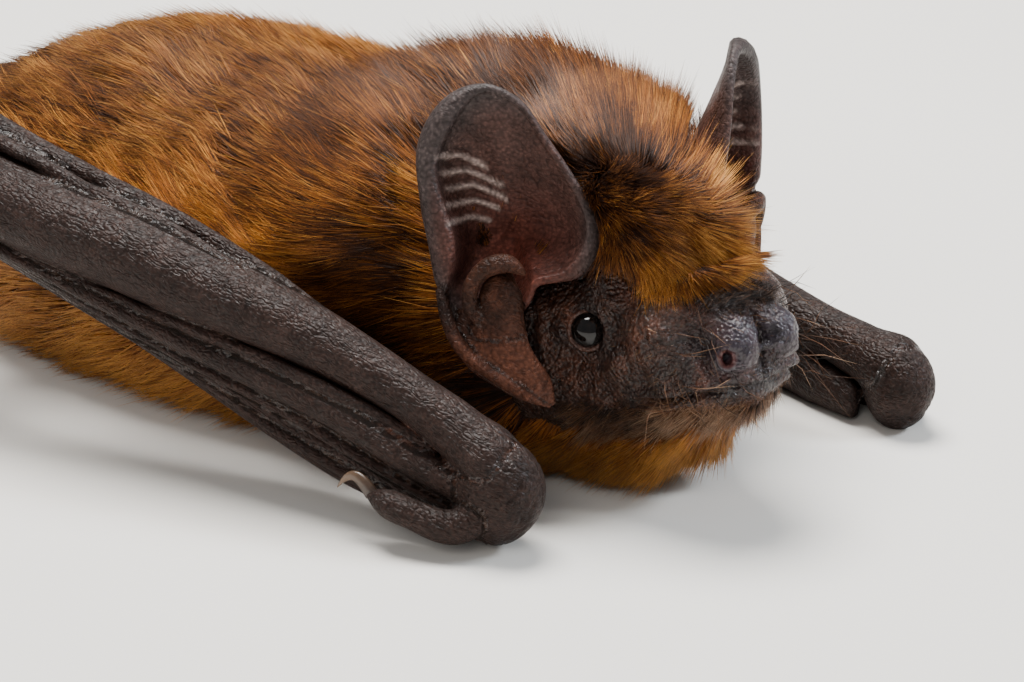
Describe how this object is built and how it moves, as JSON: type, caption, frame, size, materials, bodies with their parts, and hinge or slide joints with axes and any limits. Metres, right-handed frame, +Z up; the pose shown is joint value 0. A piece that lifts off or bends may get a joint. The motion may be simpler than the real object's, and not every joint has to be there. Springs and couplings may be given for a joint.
{
  "type": "bat",
  "caption": "Life-size still model of a common noctule bat lying on its belly, head raised and turned, ears up, wings folded along the body and the tail trailing behind.",
  "frame": {"origin": "middle of the footprint, on the floor the bat lies on", "axes": "+Z up; -Y toward the nose; +X toward the bat's left side"},
  "size_m": [0.0422, 0.11, 0.0227],
  "materials": {
    "fur": "dense sleek orange-brown fur with darker roots",
    "face_skin": "bare finely grained dark brown skin, slightly shiny",
    "wing_skin": "bare wrinkled dark grey-brown wing skin, satin",
    "ear_skin": "thin dark brown ear skin, satin",
    "eye": "glossy black",
    "claw": "satin grey-brown horn"
  },
  "bodies": {
    "root": {"claw_1_left": "claw", "claw_1_right": "claw", "claw_2_left": "claw", "claw_2_right": "claw", "claw_3_left": "claw", "claw_3_right": "claw", "claw_4_left": "claw", "claw_4_right": "claw", "claw_5_left": "claw", "claw_5_right": "claw", "digit_3_left": "wing_skin", "digit_3_right": "wing_skin", "digit_4_left": "wing_skin", "digit_4_right": "wing_skin", "digit_5_left": "wing_skin", "digit_5_right": "wing_skin", "ear_left": "ear_skin", "ear_right": "ear_skin", "eye_left": "eye", "eye_right": "eye", "foot_left": "wing_skin", "foot_right": "wing_skin", "forearm_left": "wing_skin", "forearm_right": "wing_skin", "front_membrane_left": "wing_skin", "front_membrane_right": "wing_skin", "head": "fur", "lower_jaw": "face_skin", "muzzle": "face_skin", "neck": "fur", "shin_left": "wing_skin", "shin_right": "wing_skin", "side_membrane_left": "wing_skin", "side_membrane_right": "wing_skin", "tail": "wing_skin", "tail_membrane_left": "wing_skin", "tail_membrane_right": "wing_skin", "thigh_left": "fur", "thigh_right": "fur", "thumb_claw_left": "claw", "thumb_claw_right": "claw", "thumb_left": "wing_skin", "thumb_right": "wing_skin", "tragus_left": "ear_skin", "tragus_right": "ear_skin", "trunk": "fur", "upper_arm_left": "fur", "upper_arm_right": "fur", "wing_membrane_left": "wing_skin", "wing_membrane_right": "wing_skin", "wrist_left": "wing_skin", "wrist_right": "wing_skin"}
  },
  "joints": []
}
